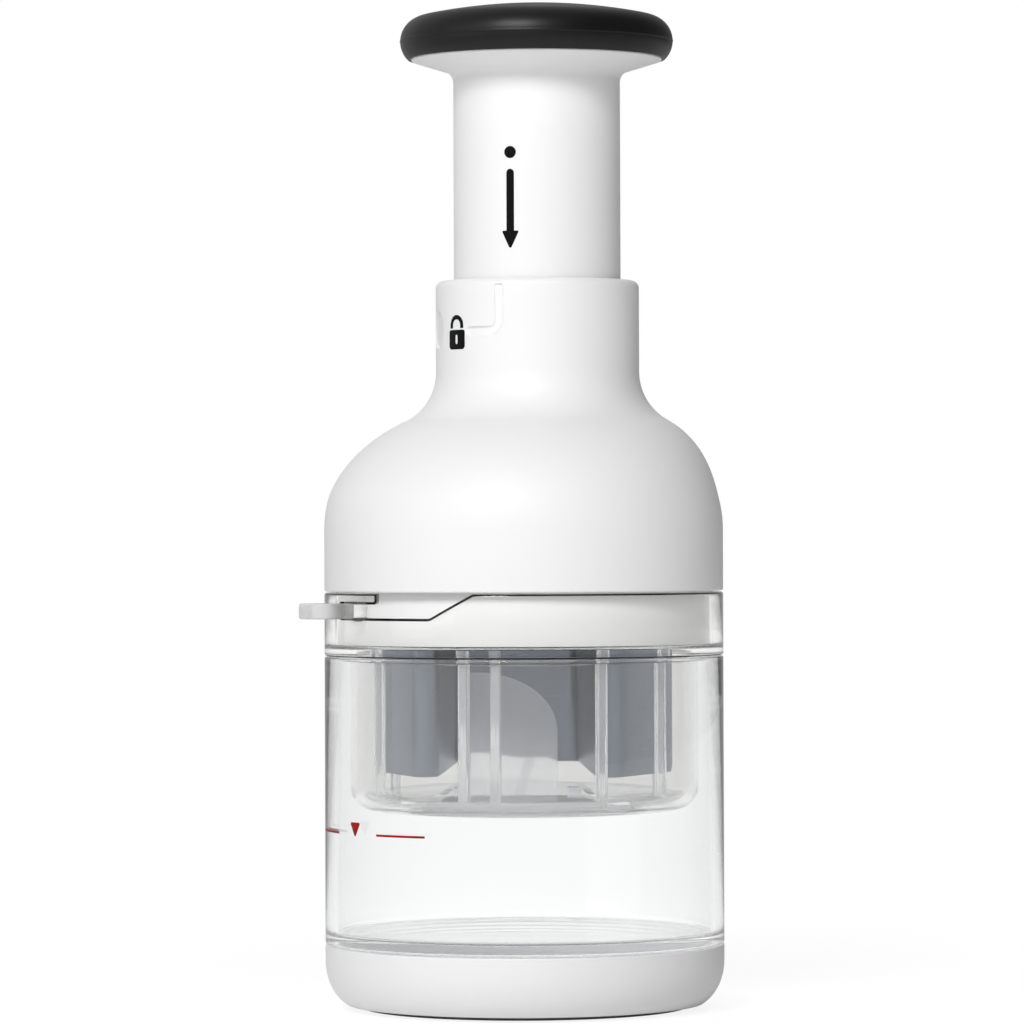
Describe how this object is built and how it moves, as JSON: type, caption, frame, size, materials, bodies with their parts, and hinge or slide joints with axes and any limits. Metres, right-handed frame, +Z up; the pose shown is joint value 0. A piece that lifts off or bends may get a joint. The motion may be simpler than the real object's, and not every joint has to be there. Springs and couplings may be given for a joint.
{
  "type": "food chopper",
  "caption": "Hand-pressed food chopper: sprung twist-lock plunger, zigzag blades in a clear guard, clear cup and white base.",
  "frame": {"origin": "centre of the foot, on the surface the chopper stands on", "axes": "+Z up along the cup's axis, -Y towards the release tab; the plunger's axis stands 4.25 mm towards +Y"},
  "size_m": [0.1012, 0.1134, 0.2545],
  "materials": {
    "white_plastic": "smooth satin white",
    "natural_plastic": "plain moulded",
    "clear_plastic": "clear and polished",
    "frosted_plastic": "translucent",
    "soft_black_rubber": "soft matte black",
    "dark_rubber": "matte grey",
    "seal_rubber": "matte grey",
    "stainless_steel": "satin stainless"
  },
  "bodies": {
    "base": {"base_shell": "white_plastic", "non_slip_foot": "dark_rubber", "base_seal": "seal_rubber"},
    "cup_body": {"cup": "clear_plastic"},
    "guard": {"blade_guard": "clear_plastic"},
    "housing": {"body_shell": "white_plastic", "skirt_frame": "white_plastic", "release_tab": "frosted_plastic", "guide_sleeve": "natural_plastic", "drive_nut": "natural_plastic", "frame_screw_1": "stainless_steel", "frame_screw_2": "stainless_steel", "frame_screw_3": "stainless_steel", "cage_retainer": "natural_plastic", "return_spring": "stainless_steel"},
    "stripper": {"blade_cage": "clear_plastic"},
    "plunger": {"push_disc": "natural_plastic"},
    "knob": {"plunger_tube": "white_plastic", "knob_core": "natural_plastic", "knob_screw_1": "stainless_steel", "knob_screw_2": "stainless_steel", "knob_screw_3": "stainless_steel", "knob_grip": "soft_black_rubber"},
    "blades": {"drive_rod": "stainless_steel", "shaft_clip": "stainless_steel", "blade_hub": "natural_plastic", "hub_nut": "stainless_steel", "zigzag_blade": "stainless_steel"}
  },
  "joints": [
    {"name": "cup_lift", "type": "slide", "parent": "base", "child": "cup_body", "axis": [0, 0, 1], "range_m": [0, 0.025]},
    {"name": "guard_lift", "type": "slide", "parent": "cup_body", "child": "guard", "axis": [0, 0, 1], "range_m": [0, 0.06]},
    {"name": "bayonet_twist", "type": "hinge", "parent": "guard", "child": "housing", "pos_m": [0, 0, 0.1], "axis": [0, 0, 1], "range_deg": [0, 22]},
    {"name": "plunger_press", "type": "slide", "parent": "housing", "child": "plunger", "axis": [0, 0, -1], "range_m": [0, 0.0394], "stiffness_N_per_m": 300, "springref_m": -0.02, "deforming": ["return_spring"]},
    {"name": "lock_twist", "type": "hinge", "parent": "plunger", "child": "knob", "pos_m": [0, 0.00425, 0.2], "axis": [0, 0, 1], "range_deg": [-34.5, 0]},
    {"name": "blade_turn", "type": "hinge", "parent": "plunger", "child": "blades", "pos_m": [0, 0, 0.1], "axis": [0, 0, 1], "range_deg": [0, 30.5]},
    {"name": "cage_turn", "type": "hinge", "parent": "housing", "child": "stripper", "pos_m": [0, 0, 0.1], "axis": [0, 0, 1], "range_deg": [0, 30.5]}
  ],
  "couplings": [
    {"joint": "blade_turn", "follows": "plunger_press", "rad_per_m": 13.289},
    {"joint": "cage_turn", "follows": "plunger_press", "rad_per_m": 13.289}
  ]
}
